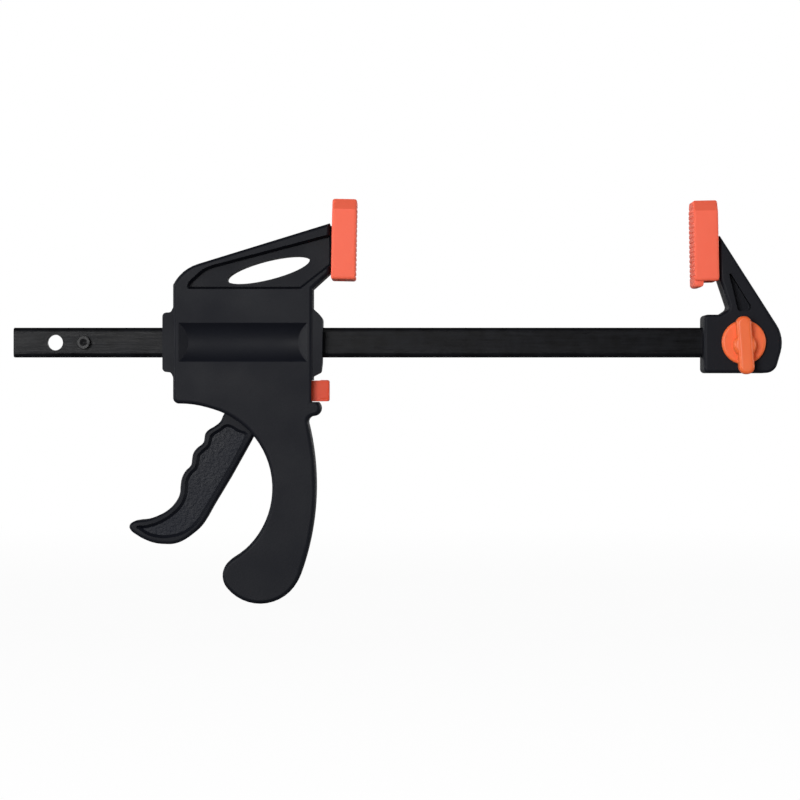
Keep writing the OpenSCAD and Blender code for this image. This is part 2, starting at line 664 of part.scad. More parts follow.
// Half of the plate that carries the moving pad, and its neck
module end_plate_half(x) {
    translate([x, 0, arm_low - 1 + pad_step]) rotate([0, toe_in, 0]) {
        translate([-0.6, -4, 0.8]) cube([pad_back + 1.2, 4, arm_top - arm_low - 0.4 - pad_step]);
        translate([0.3 + pad_back + pad_fit, -plate_w, -0.4])
            cube([plate_t, plate_w, pad_top - arm_low - 1.3]);
    }
}

module housing_front() color(plastic) on_jaw() difference() {
    half_shell();
    for (p = screw_at) rod(p, -eps, shank_low, shank_d + 2 * shank_fit);
    rod(web_screw, -eps, half_t - web_depth - 0.9, shank_d + 2 * shank_fit);
}

module housing_rear() color(plastic) on_jaw() mirror([0, 1, 0]) difference() {
    half_shell();
    for (p = screw_at) {
        rod(p, -eps, half_t, shank_d + 0.5);
        rod(p, half_t - seat_depth, half_t + eps, head_d + 0.4);
    }
    rod(web_screw, -eps, half_t, shank_d + 0.5);
    rod(web_screw, half_t - web_depth - head_h - 0.2, half_t + eps, head_d + 0.4);
}

// Pan head screw along -Y, its seat at depth y behind the parting face
module screw(at, y, reach) {
    difference() {
        union() {
            rod(at, -y - head_h + 0.5, -y, head_d);
            rod(at, -y - head_h, -y - head_h + 0.55, head_d - 0.9);
            rod(at, -y - 0.1, reach, shank_d);
        }
        for (a = [0, 90]) between(-y - head_h - eps, -y - head_h + 0.9)
            translate(at) rotate(a) square([2.6, 0.6], center = true);
    }
}

module housing_screws() color(bright) on_jaw()
    for (p = screw_at) screw(p, half_t - seat_depth, shank_low - 0.4);

module jaw_screw() color(bright) on_jaw()
    screw(web_screw, half_t - web_depth - head_h - 0.2, half_t - web_depth - 1.3);

// ---- Trigger ----
tip_at = [-13.3, -8.4];                         // first finger ridge, from the pivot
last_tip = tip_at - (fingers - 1) * [finger_x, finger_z];
hook = last_tip - [hook_reach, hook_drop];      // upper corner of the hook
trigger_outline = rounded(concat(
    [[-2.4, 3, 0], [-6.4, -1.6, 1.5], [-neck_front, -neck_drop, 2.2]],
    [for (k = [0:fingers - 1]) let (x = tip_at[0] - k * finger_x, z = tip_at[1] - k * finger_z)
        each concat([[x, z, finger_r]], k < fingers - 1 ? [[x - 0.3, z - finger_hollow, 1.5]] : [])],
    [[last_tip[0], last_tip[1] - finger_z, 5], [last_tip[0] - 6, last_tip[1] - hook_drop + 0.7, 6],
        [hook[0], hook[1], 1.6], [hook[0] + 0.4, hook[1] - hook_h, 1.5],
        [hook[0] + 5.6, hook[1] - belly + 0.2, 8], [hook[0] + belly_l, hook[1] - belly, 6],
        [hook[0] + belly_w, hook[1] - 1, 4], [-1.2, -neck_back, 3], [3.3, -2, 0]]));

// Recessed panel, cut off straight across the neck
panel_outline = rounded(concat([[-7.5, -neck_drop, 0.9]],
    [for (k = [0:fingers - 1]) let (x = tip_at[0] - k * finger_x + panel_rim, z = tip_at[1] - k * finger_z)
        each concat([[x + 0.7, z - 1.9, 1.5]], k < fingers - 1 ? [[x + 0.1, z - finger_hollow - 0.9, 1.5]] : [])],
    [[last_tip[0] + panel_rim, last_tip[1] - finger_z, 5], [hook[0] + 8.7, hook[1] - 0.2, 6],
        [hook[0] + 3.2, hook[1] - hook_h + 0.3, 0.7], [hook[0] + 6.6, hook[1] - belly + 1.8, 4],
        [hook[0] + belly_l, hook[1] - belly + 1.8, 5], [hook[0] + belly_w - 0.8, hook[1] + 0.6, 4],
        [-2, 0.6 - neck_back, 0.8]]));

nose_r = 1.3;
nose_at = [drive_x + 0.15 + nose_r - pivot[0], pivot_z - bar_h / 2 - nose_r - 1];

module trigger() color(plastic) translate([jaw_x + pivot[0], 0, pivot[1]]) difference() {
    half_w = cavity_t - side_gap;
    union() {
        difference() {
            facing() cushion(trigger_outline, half_w, trigger_edge);
            // room for the bosses of the housing
            for (s = [0, 1]) mirror([0, s, 0]) rod([0, 0], hub_t, half_w + eps, 2 * hub_r + 0.6);
            // grained panels
            for (s = [0, 1]) mirror([0, s, 0]) facing()
                lofted(panel_outline, recess(half_w, panel_depth, panel_draft));
        }
        rod([0, 0], -hub_t, hub_t, 2 * hub_r);
        // nose that pushes the drive plates
        between(-hub_t, hub_t) {
            polygon([[nose_at[0] - nose_r, 0], [nose_at[0] - nose_r, nose_at[1]], [nose_at[0] + nose_r, nose_at[1]],
                [hub_r * 0.7, 2]]);
            translate(nose_at) circle(r = nose_r);
        }
    }
    rod([0, 0], -hub_t - eps, hub_t + eps, pin_d + 2 * pin_fit);
}

module trigger_pin() color(bright) on_jaw() rod(pivot, -cavity_t - 0.8, cavity_t + 0.8, pin_d);

// ---- Drive plates, brake plate and their springs ----
module steel_plate(x0, t, z0, z1) difference() {
    translate([x0, -plate_half, z0]) cube([t, 2 * plate_half, z1 - z0]);
    translate([x0 - eps, -bar_t / 2 - plate_fit, -bar_h / 2 - plate_fit])
        cube([t + 2 * eps, bar_t + 2 * plate_fit, bar_h + 2 * plate_fit]);
}

module drive_plate_near() color(bright) on_jaw()
    steel_plate(drive_x - drive_t, drive_t, drive_low, drive_top);

module drive_plate_far() color(bright) on_jaw()
    steel_plate(drive_x - 2 * drive_t - 0.05, drive_t, drive_low, drive_top);

module drive_spring() color(bright) on_jaw()
    translate([side_wall + 0.1, 0, -drive_coil_z])
    coil(drive_x - 2 * drive_t - 0.15 - side_wall - 0.1, drive_coil_d, drive_wire, drive_turns);

module brake_plate() color(bright) on_jaw()
    translate([brake_x, 0, brake_z]) rotate([0, -brake_tilt, 0]) difference() {
        translate([-brake_t / 2, -plate_half, brake_low - brake_z])
            cube([brake_t, 2 * plate_half, 1.2 + brake_z - brake_low]);
        translate([-brake_t, -bar_t / 2 - plate_fit, -brake_z / cos(brake_tilt) - bar_h / 2 - 2 * plate_fit])
            cube([2 * brake_t, bar_t + 2 * plate_fit, bar_h + 4 * plate_fit]);
    }

module brake_spring() color(bright) on_jaw()
    translate([rib_x + 0.1, 0, -brake_coil_z])
    coil(brake_seat - rib_x - 0.45, brake_coil_d, brake_wire, brake_turns);

// ---- Release button ----
module release_button() color(orange) on_jaw() {
    z0 = -button_z - button_h / 2;
    wall_in = body_w - side_wall;
    facing() translate([0, 0, -button_w / 2]) linear_extrude(height = button_w)
        polygon(rounded([[button_in, z0, 0], [body_w + button_out, z0, button_r],
            [body_w + button_out, z0 + button_h, button_r], [button_in, z0 + button_h, 0]]));
    // flange behind the wall
    translate([button_in, -button_w / 2 - 0.8, z0 - 0.7])
        cube([wall_in - 0.1 - button_in, button_w + 1.6, button_h + 1.4]);
}

// ---- Fixed jaw ----
slope_x = fixed_pad_x - bar_span + 0.3;         // behind the pad, from the lock pin
heel_x = fixed_out + 0.6;
heel_z = slope_top - (heel_x - slope_x) * tan(slope_angle);
fixed_outline = rounded([[slope_x, slope_top, 0], [slope_x, pad_low + 0.4, 0],
    [slope_x + 2.6, socket_top + 1.6, 1.3], [slope_x + 0.2, socket_top, 1.3], [-fixed_in, socket_top, 1.1],
    [-fixed_in, -fixed_drop, 1.1], [heel_x - 2.7, -fixed_drop, 3.2], [heel_x, heel_z, heel_r]]);
pocket = rounded([[-4.25, slope_top - pocket_drop, 0.3], [-1.5, 8.3, 0.8], [2.7, 8.6, 1]]);

module fixed_jaw() color(plastic) translate([bar_span, 0, 0]) difference() {
    union() {
        difference() {
            facing() cushion(fixed_outline, fixed_t, fixed_edge);
            for (s = [0, 1]) mirror([0, s, 0])
                between(fixed_t - pocket_depth, fixed_t + eps) polygon(pocket);
        }
        mirror([1, 0, 0]) translate([-slope_x, 0, arm_low - 1]) rotate([0, toe_in, 0]) {
            translate([-0.6, -4, 0.8]) cube([pad_back + 1.2, 8, slope_top - arm_low - 1.4]);
            translate([0.3 + pad_back + pad_fit, -plate_w, -0.4])
                cube([plate_t, 2 * plate_w, pad_top - arm_low - 1.3]);
        }
    }
    // socket of the bar
    translate([-fixed_in - eps, -bar_t / 2 - 0.1, -bar_h / 2 - 0.1])
        cube([fixed_in + nose_len + 0.2 + eps, bar_t + 0.2, bar_h + 0.2]);
    // keyhole, room for the lugs, and the bore of the lock pin
    rod([0, 0], -fixed_t + 2, fixed_t + eps, lock_d + 2 * lock_fit);
    rod([0, 0], fixed_t - key_wall - lug_t - 2 * knob_fit, fixed_t + eps, neck_d + 2 * knob_fit);
    rod([0, 0], fixed_t - key_wall - lug_t - 2 * knob_fit, fixed_t - key_wall, lug_d + 2 * knob_fit);
    between(fixed_t - key_wall - eps, fixed_t + eps)
        square([lug_d + 2 * knob_fit, lug_w + 2 * knob_fit], center = true);
}

// ---- Locking knob ----
wing_outline = rounded([for (v = [[1, 1], [-1, 1], [-1, -1], [1, -1]])
    [v[0] * wing_w / 2, v[1] * wing_l / 2, wing_w / 2 - 0.05]]);
wing_hub_outline = [for (a = [0:15:345]) wing_hub / 2 * [cos(a), sin(a)]];

module locking_knob() color(orange) translate([bar_span, 0, 0]) difference() {
    face = fixed_t + 0.1;
    union() {
        rod([0, 0], face, face + disc_t, knob_d);
        facing() translate([0, 0, face + disc_t - 0.2]) rotate(wing_lean) {
            pillow(wing_outline, wing_h + 0.2, 1.1);
            pillow(wing_hub_outline, hub_h + 0.2, 0.9);
        }
        rod([0, 0], fixed_t - key_wall - lug_t - knob_fit, face + 0.2, neck_d);
        between(fixed_t - key_wall - lug_t - knob_fit, fixed_t - key_wall - knob_fit)
            rotate(90) square([lug_d, lug_w], center = true);
    }
    rod([0, 0], 0, face + disc_t, lock_d + 0.04);
}

module lock_pin() color(bright) translate([bar_span, 0, 0])
    rod([0, 0], -fixed_t + 2.2, fixed_t + disc_t, lock_d);

// ---- Pads ----
// Pad standing on its back face at x = 0, ridged towards +X, at the height of its plate
module pad(neck_top, tab) {
    z0 = pad_low - arm_low + 1;
    h = pad_top - pad_low;
    face = pad_t;
    outline = rounded([[-pad_w, z0, 0.9], [pad_w, z0, 0.9], [pad_w, z0 + h, pad_r], [-pad_w, z0 + h, pad_r]]);
    difference() {
        union() {
            rotate([90, 0, 90]) lofted(outline, concat([[0, pad_edge], [pad_edge * 0.3, pad_edge * 0.3],
                [pad_edge, 0]], edge_rings(face, pad_edge)));
            if (tab > 0) translate([face - tab_t, -pad_w + 0.8, z0 - tab]) cube([tab_t, 2 * pad_w - 1.6, tab + 1]);
        }
        // pocket over the end plate, open at the bottom
        translate([pad_back, -plate_w - pad_fit, z0 - 3])
            cube([plate_t + 2 * pad_fit, 2 * (plate_w + pad_fit), pad_top - arm_low - 1.5 + pad_fit - z0 + 3]);
        // slot over the neck
        translate([-eps, -4 - pad_fit, z0 - 3]) cube([pad_back + 2 * eps, 8 + 2 * pad_fit, neck_top - z0 + 3]);
        // grooves between the ridges
        for (z = [z0 + ridge_pitch:ridge_pitch:z0 + h - pad_r * 0.6])
            translate([face - ridge_depth, -pad_w - eps, z - ridge_pitch / 4])
                cube([ridge_depth + eps, 2 * (pad_w + eps), ridge_pitch / 2]);
    }
}

module moving_jaw_pad() color(orange) translate([jaw_x + arm_reach, 0, arm_low - 1 + pad_step])
    rotate([0, toe_in, 0]) translate([0.3, 0, 0]) pad(arm_top - arm_low + 0.6, 0);

module fixed_jaw_pad() color(orange) translate([bar_span + slope_x, 0, arm_low - 1]) mirror([1, 0, 0])
    rotate([0, toe_in, 0]) translate([0.3, 0, 0]) pad(slope_top - arm_low - 0.4, tab_h);

bar();
stop_pin();
fixed_jaw();
fixed_jaw_pad();
locking_knob();
lock_pin();
housing_front();
housing_rear();
housing_screws();
jaw_screw();
moving_jaw_pad();
trigger();
trigger_pin();
drive_plate_near();
drive_plate_far();
drive_spring();
brake_plate();
brake_spring();
release_button();
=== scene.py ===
import json
import math
import bpy
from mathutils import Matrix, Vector

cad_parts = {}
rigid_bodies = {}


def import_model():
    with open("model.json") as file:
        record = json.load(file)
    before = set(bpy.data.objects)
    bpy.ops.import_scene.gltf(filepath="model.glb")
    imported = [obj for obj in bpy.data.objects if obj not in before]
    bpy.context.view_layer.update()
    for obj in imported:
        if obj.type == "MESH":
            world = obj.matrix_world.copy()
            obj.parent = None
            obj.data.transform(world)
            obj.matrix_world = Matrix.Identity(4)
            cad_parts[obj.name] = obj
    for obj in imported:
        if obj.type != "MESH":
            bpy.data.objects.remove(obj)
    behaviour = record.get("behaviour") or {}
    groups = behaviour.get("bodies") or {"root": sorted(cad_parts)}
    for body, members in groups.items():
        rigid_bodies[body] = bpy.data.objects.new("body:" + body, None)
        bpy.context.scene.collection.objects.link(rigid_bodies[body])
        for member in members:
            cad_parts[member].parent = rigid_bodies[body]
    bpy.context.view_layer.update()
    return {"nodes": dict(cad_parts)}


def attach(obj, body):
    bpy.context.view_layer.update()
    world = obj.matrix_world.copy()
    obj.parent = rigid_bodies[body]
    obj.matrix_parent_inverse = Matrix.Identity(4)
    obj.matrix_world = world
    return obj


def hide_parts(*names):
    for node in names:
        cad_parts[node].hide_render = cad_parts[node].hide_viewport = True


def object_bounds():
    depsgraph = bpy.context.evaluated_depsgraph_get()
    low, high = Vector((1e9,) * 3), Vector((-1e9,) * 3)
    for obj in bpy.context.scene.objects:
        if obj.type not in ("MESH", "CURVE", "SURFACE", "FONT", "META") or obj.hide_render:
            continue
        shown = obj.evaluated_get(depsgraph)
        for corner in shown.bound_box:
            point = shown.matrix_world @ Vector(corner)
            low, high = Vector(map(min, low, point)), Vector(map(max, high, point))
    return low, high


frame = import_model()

mm = 0.001                                   # sizes are in millimetres, multiplied by this
touch = 0.02                                 # two places closer than this, in mm, count as one
overlap = 0.2                                # how far joined solids reach into each other, in mm
longEdge = 1                                 # what an edge spans on an axis to count as long, in mm
weld = 0.005                                 # points closer than this are merged, in mm
flat = 0.8                                   # faces that turn less than this are one, in degrees
crease = 32                                  # edges sharper than this are shaded sharp, in degrees
nodes = frame["nodes"]


# ---- ways of working ----
def deselectAll():
    if bpy.context.object and bpy.context.object.mode != "OBJECT":
        bpy.ops.object.mode_set(mode="OBJECT")
    bpy.ops.object.select_all(action="DESELECT")


def pick(piece):
    deselectAll()
    piece.select_set(True)
    bpy.context.view_layer.objects.active = piece


def applyPlace(piece):                       # leaves the object at the origin, its place in its mesh
    pick(piece)
    bpy.ops.object.transform_apply(location=True, rotation=True, scale=True)


def applyModifier(piece, kind, **settings):
    pick(piece)
    bpy.ops.object.modifier_add(type=kind)
    modifier = piece.modifiers[-1]
    for key, value in settings.items():
        setattr(modifier, key, value)
    bpy.ops.object.modifier_apply(modifier=modifier.name)


def cleanFaces(piece):                       # welds the points and makes flat faces whole again
    pick(piece)
    bpy.ops.object.mode_set(mode="EDIT")
    bpy.ops.mesh.select_all(action="SELECT")
    bpy.ops.mesh.remove_doubles(threshold=weld * mm)
    bpy.ops.mesh.dissolve_limited(angle_limit=math.radians(flat))
    bpy.ops.object.mode_set(mode="OBJECT")


def faceOutwards(piece):
    pick(piece)
    bpy.ops.object.mode_set(mode="EDIT")
    bpy.ops.mesh.select_all(action="SELECT")
    bpy.ops.mesh.normals_make_consistent(inside=False)
    bpy.ops.object.mode_set(mode="OBJECT")


def mergedCopy(nodeName, pieceName):         # a solid's shape as an own mesh, to be refined
    pick(nodes[nodeName])
    bpy.ops.object.duplicate()
    piece = bpy.context.object
    bpy.ops.object.parent_clear(type="CLEAR_KEEP_TRANSFORM")
    piece.name = piece.data.name = pieceName
    cleanFaces(piece)
    return piece


def block(low, high):                        # box between two corners, in mm
    deselectAll()
    bpy.ops.mesh.primitive_cube_add(size=1, location=[(a + b) / 2 * mm for a, b in zip(low, high)])
    piece = bpy.context.object
    piece.scale = [(b - a) * mm for a, b in zip(low, high)]
    applyPlace(piece)
    return piece


def roundRod(x, z, y0, y1, radius, vertices=64):   # round bar across the clamp, in mm
    deselectAll()
    bpy.ops.mesh.primitive_cylinder_add(vertices=vertices, radius=radius * mm,
                                        depth=abs(y1 - y0) * mm,
                                        location=(x * mm, (y0 + y1) / 2 * mm, z * mm),
                                        rotation=(math.radians(90), 0, 0))
    applyPlace(bpy.context.object)
    return bpy.context.object


def curvedPlate(points, halfThick, rounding, steps):   # smooth outline in X and Z, rounded rim
    deselectAll()
    bpy.ops.curve.primitive_bezier_circle_add()
    plate = bpy.context.object
    line = plate.data
    line.dimensions = "2D"
    line.fill_mode = "BOTH"
    line.resolution_u = 5                    # points between two knots
    knots = line.splines[0].bezier_points
    knots.add(len(points) - len(knots))
    for knot, (x, z) in zip(knots, points):
        knot.co = (x * mm, z * mm, 0)
        knot.handle_left_type = knot.handle_right_type = "AUTO"
    line.extrude = (halfThick - rounding) * mm
    line.bevel_depth = rounding * mm
    line.bevel_resolution = steps
    line.offset = -rounding * mm
    plate.rotation_euler = (math.radians(90), 0, 0)
    bpy.ops.object.convert(target="MESH")
    applyPlace(bpy.context.object)
    cleanFaces(bpy.context.object)
    faceOutwards(bpy.context.object)
    return bpy.context.object


def bevelWhere(piece, width, segments, test):      # bevels edges whose two ends pass the test
    pick(piece)
    bpy.ops.object.mode_set(mode="EDIT")
    bpy.ops.mesh.select_all(action="DESELECT")
    bpy.ops.mesh.select_mode(type="EDGE")
    bpy.ops.object.mode_set(mode="OBJECT")
    for edge in piece.data.edges:
        a, b = (piece.data.vertices[v].co / mm for v in edge.vertices)
        edge.select = test(a, b)
    bpy.ops.object.mode_set(mode="EDIT")
    bpy.ops.mesh.bevel(offset=width * mm, segments=segments, affect="EDGES", clamp_overlap=True)
    bpy.ops.object.mode_set(mode="OBJECT")


def softenEdges(piece, width, segments=2, angle=35):
    applyModifier(piece, "BEVEL", width=width * mm, segments=segments, limit_method="ANGLE",
                  angle_limit=math.radians(angle), use_clamp_overlap=True)
    pick(piece)
    bpy.ops.object.shade_smooth_by_angle(angle=math.radians(crease))
    # keeps broad faces flat beside their rounded edges
    applyModifier(piece, "WEIGHTED_NORMAL", keep_sharp=True)


def combine(piece, other, operation, solver="EXACT"):
    applyModifier(piece, "BOOLEAN", object=other, operation=operation, solver=solver)
    deselectAll()
    other.select_set(True)
    bpy.ops.object.delete()


def dress(piece, material):
    piece.data.materials.clear()
    piece.data.materials.append(material)


def finished(piece, body, slot, *replaced):
    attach(piece, body)
    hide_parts(*replaced)


# ---- materials ----
print("materials")
noiseLow, noiseHigh = 0.3, 0.7               # a noise pattern hardly leaves this range
sumLow, sumHigh = 0.75, 1.25                 # and most of the sum of two lies in this one
drawnOut = 25                                # a streak of drawing is so many times as long as wide


def linear(hexColour):
    parts = [int(hexColour[i:i + 2], 16) / 255 for i in (1, 3, 5)]
    return [c / 12.92 if c <= 0.04045 else ((c + 0.055) / 1.055) ** 2.4 for c in parts] + [1.0]


def add(tree, kind, values=None, links=None, **settings):
    node = tree.nodes.new("ShaderNode" + kind)
    for key, value in settings.items():
        setattr(node, key, value)
    for socket, value in (values or {}).items():
        node.inputs[socket].default_value = value
    for socket, source in (links or {}).items():
        tree.links.new(source, node.inputs[socket])
    return node


def newMaterial(name):
    material = bpy.data.materials.new(name)
    material.use_nodes = True
    tree = material.node_tree
    tree.nodes.clear()
    output = add(tree, "OutputMaterial")
    place = add(tree, "TexCoord").outputs["Object"]
    return material, tree, output, place


def mouldedPlastic(name, finish):            # grain of the mould, and what the melt's flow leaves
    material, tree, output, place = newMaterial(name)
    grain = add(tree, "TexNoise",
                {"Scale": 1 / (finish["grain"] * mm), "Detail": 3, "Roughness": 0.6},
                {"Vector": place})
    drift = add(tree, "TexNoise", {"Scale": 1 / (finish["drift"] * mm), "Detail": 2},
                {"Vector": place})
    shade = add(tree, "Mix", {"A": linear(finish["colour"]), "B": linear(finish["lighter"])},
                {"Factor": drift.outputs["Fac"]}, data_type="RGBA")
    gloss = add(tree, "MapRange",
                {"From Min": noiseLow, "From Max": noiseHigh,
                 "To Min": finish["roughness"] - finish["uneven"],
                 "To Max": finish["roughness"] + finish["uneven"]},
                {"Value": drift.outputs["Fac"]})
    bump = add(tree, "Bump",
               {"Strength": finish["bump"], "Distance": finish["grain"] * mm * finish["relief"]},
               {"Height": grain.outputs["Fac"]})
    shader = add(tree, "BsdfPrincipled",
                 {"IOR": finish["ior"], "Specular IOR Level": finish["specular"],
                  "Subsurface Weight": finish["glow"], "Subsurface Scale": finish["glowDepth"] * mm},
                 {"Base Color": shade.outputs["Result"], "Roughness": gloss.outputs["Result"],
                  "Normal": bump.outputs["Normal"]})
    tree.links.new(shader.outputs["BSDF"], output.inputs["Surface"])
    return material


# glass-filled nylon from a spark-eroded mould: deep bluish black with a dull, even sheen
# the mould's grain is some 0.05 mm, drawn at 0.35 mm so that it shows
nylonFinish = {"colour": "#0d0f16", "lighter": "#12141c", "grain": 0.35, "drift": 14,
               "bump": 0.3, "relief": 0.25, "roughness": 0.54, "uneven": 0.06, "ior": 1.53,
               "specular": 0.145, "glow": 0.0, "glowDepth": 1.5}
# the same nylon with a leather-like etch: rougher, crumpled, a little greyer
grainedFinish = dict(nylonFinish, colour="#0c0f17", lighter="#141824", grain=0.9, bump=1.0,
                     relief=0.3, specular=0.24, roughness=0.5)
# unfilled nylon coloured in the melt: strong orange with soft, broad highlights
orangeNylonFinish = {"colour": "#f26932", "lighter": "#f87239", "grain": 0.4, "drift": 9,
                     "bump": 0.15, "relief": 0.25, "roughness": 0.42, "uneven": 0.06, "ior": 1.53,
                     "specular": 0.4, "glow": 0.1, "glowDepth": 1.5}
# the button's batch is redder and duller
buttonFinish = dict(orangeNylonFinish, colour="#e04a2a", lighter="#e65334", specular=0.2)
# thermoplastic elastomer, moulded: warm coral, waxy, hardly any gloss
softPadFinish = {"colour": "#fd6a4f", "lighter": "#fe7156", "grain": 0.3, "drift": 8,
                 "bump": 0.2, "relief": 0.25, "roughness": 0.5, "uneven": 0.06, "ior": 1.5,
                 "specular": 0.2, "glow": 0.04, "glowDepth": 1.5}

nylon = mouldedPlastic("glassFilledNylon", nylonFinish)
grainedNylon = mouldedPlastic("coarseGrainedNylon", grainedFinish)
orangeNylon = mouldedPlastic("orangeNylon", orangeNylonFinish)
buttonNylon = mouldedPlastic("orangeButtonNylon", buttonFinish)
softPad = mouldedPlastic("softThermoplasticPad", softPadFinish)


def coatedSteel(name, finish):               # drawn along X, so its streaks run that way
    material, tree, output, place = newMaterial(name)
    along = add(tree, "Mapping", {"Scale": (1 / drawnOut, 1.0, 1.0)}, {"Vector": place})
    streaks = add(tree, "TexNoise",
                  {"Scale": 1 / (finish["streak"] * mm), "Detail": 4, "Roughness": 0.7},
                  {"Vector": along.outputs["Vector"]})
    blotches = add(tree, "TexNoise", {"Scale": 1 / (finish["blotch"] * mm), "Detail": 3},
                   {"Vector": place})
    both = add(tree, "Math", links={0: streaks.outputs["Fac"], 1: blotches.outputs["Fac"]},
               operation="ADD")
    mixed = add(tree, "MapRange", {"From Min": sumLow, "From Max": sumHigh},
                {"Value": both.outputs[0]})
    shade = add(tree, "Mix", {"A": linear(finish["colour"]), "B": linear(finish["lighter"])},
                {"Factor": mixed.outputs["Result"]}, data_type="RGBA")
    gloss = add(tree, "MapRange",
                {"From Min": noiseLow, "From Max": noiseHigh,
                 "To Min": finish["roughness"] - finish["uneven"],
                 "To Max": finish["roughness"] + finish["uneven"]},
                {"Value": streaks.outputs["Fac"]})
    bump = add(tree, "Bump", {"Strength": finish["bump"], "Distance": finish["relief"] * mm},
               {"Height": streaks.outputs["Fac"]})
    shader = add(tree, "BsdfPrincipled",
                 {"Metallic": finish["metallic"], "Specular IOR Level": finish["specular"]},
                 {"Base Color": shade.outputs["Result"], "Roughness": gloss.outputs["Result"],
                  "Normal": bump.outputs["Normal"]})
    tree.links.new(shader.outputs["BSDF"], output.inputs["Surface"])
    return material


# cold drawn bar, blackened and oiled: the oxide hides the metal, near black with faint streaks
# drawing leaves lines some 0.05 mm wide, drawn at 0.5 mm so that they show
blackOxideFinish = {"colour": "#050507", "lighter": "#131418", "streak": 0.5, "blotch": 3,
                    "bump": 0.5, "relief": 0.1, "roughness": 0.36, "uneven": 0.1,
                    "metallic": 0.0, "specular": 0.1}
# zinc plated and clear passivated: pale grey, bright but a little cloudy
zincFinish = {"colour": "#a9abae", "lighter": "#bcbdbf", "streak": 0.3, "blotch": 3,
              "bump": 0.1, "relief": 0.1, "roughness": 0.3, "uneven": 0.08,
              "metallic": 1.0, "specular": 0.5}
# blackened pin, rubbed by handling: dark with a soft shine on its rim
burnishedFinish = dict(zincFinish, colour="#0e0e10", lighter="#19191b", roughness=0.36,
                       metallic=0.0, specular=0.2)
# hardened and tumbled plate: dull mid grey
hardenedFinish = dict(zincFinish, colour="#6d6c6a", lighter="#7b7a78", roughness=0.4)
# hard drawn spring wire: clean silky grey
springFinish = dict(zincFinish, colour="#8d8d8f", lighter="#9b9b9d", roughness=0.28)

blackOxide = coatedSteel("blackOxideSteel", blackOxideFinish)
zinc = coatedSteel("brightZincPlate", zincFinish)
burnished = coatedSteel("burnishedSteelPin", burnishedFinish)
hardened = coatedSteel("hardenedPlateSteel", hardenedFinish)
springWire = coatedSteel("drawnSpringWire", springFinish)

# ---- pieces refined from the solids ----
print("housing, fixed jaw and fasteners")
refined = {                                  # edge is how wide the corners are rounded, in mm
    "stop_pin": {"name": "stopPin", "body": "bar_and_fixed_jaw", "slot": "black_oxide",
                 "material": burnished, "edge": 0.15},
    "fixed_jaw": {"name": "fixedJawBody", "body": "bar_and_fixed_jaw", "slot": "dark_nylon",
                  "material": nylon, "edge": 0.3},
    "housing_front": {"name": "housingFrontHalf", "body": "moving_jaw", "slot": "dark_nylon",
                      "material": nylon, "edge": 0.3},
    "housing_rear": {"name": "housingRearHalf", "body": "moving_jaw", "slot": "dark_nylon",
                     "material": nylon, "edge": 0.3},
    "housing_screws": {"name": "longScrews", "body": "moving_jaw", "slot": "zinc_steel",
                       "material": zinc, "edge": 0.08},
    "jaw_screw": {"name": "shortScrew", "body": "moving_jaw", "slot": "zinc_steel",
                  "material": zinc, "edge": 0.08},
}
for node, part in refined.items():
    piece = mergedCopy(node, part["name"])
    softenEdges(piece, part["edge"])
    dress(piece, part["material"])
    finished(piece, part["body"], part["slot"], node)

# ---- trigger ----
print("trigger")
triggerShape = {"halfWide": 5.69, "rim": 0.95, "rimSteps": 4, "cutAt": -18.6, "lap": 0.3,
                "panelDepth": 1.0, "panelSlope": 0.8, "panelBelow": -22, "edge": 0.12}
leverOutline = [                             # X and Z in mm, from the back of the neck round the hook
    (52.9, -25.9), (51.1, -29.2), (49.2, -32.6), (47.2, -36.2), (45.0, -39.9), (42.7, -43.7),
    (40.6, -47.4), (39.1, -49.5), (37.0, -51.4), (34.7, -53.0), (32.2, -53.9), (29.7, -54.0),
    (27.0, -53.7), (24.4, -52.8), (22.1, -51.5), (20.6, -50.3), (20.2, -49.2), (20.9, -48.2),
    (22.7, -47.7), (25.1, -47.4), (27.6, -46.5), (30.5, -44.9), (32.7, -42.6), (33.7, -40.5),
    (33.9, -38.4), (34.2, -36.5), (35.1, -34.6), (36.7, -32.8), (37.0, -31.1), (37.3, -29.7),
    (38.2, -28.4), (40.0, -26.8), (40.3, -25.6), (40.5, -24.5), (41.3, -23.5), (43.1, -22.4),
    (44.6, -21.1), (45.3, -19.6), (46.9, -17.2), (48.8, -15.8), (51.9, -18.1), (54.6, -21.9)]
panelOutline = [
    (51.9, -24.6), (51.4, -26.2), (49.9, -29.3), (47.8, -33.2), (45.1, -37.7), (42.7, -41.7),
    (40.3, -45.8), (38.7, -48.2), (36.7, -50.1), (34.3, -51.5), (31.6, -52.2), (29.0, -52.4),
    (26.4, -52.0), (24.4, -51.2), (22.9, -50.1), (22.1, -49.4), (22.7, -49.0), (23.8, -49.0),
    (25.6, -48.7), (28.2, -47.8), (31.3, -45.9), (33.7, -43.5), (34.8, -41.1), (35.1, -38.8),
    (35.3, -36.8), (36.2, -35.0), (37.8, -33.2), (38.2, -31.4), (38.5, -30.1), (39.4, -29.0),
    (41.1, -27.4), (41.5, -26.1), (41.8, -25.0), (42.4, -24.3), (44.3, -23.1), (45.6, -22.1),
    (46.9, -21.9), (49.4, -23.2)]

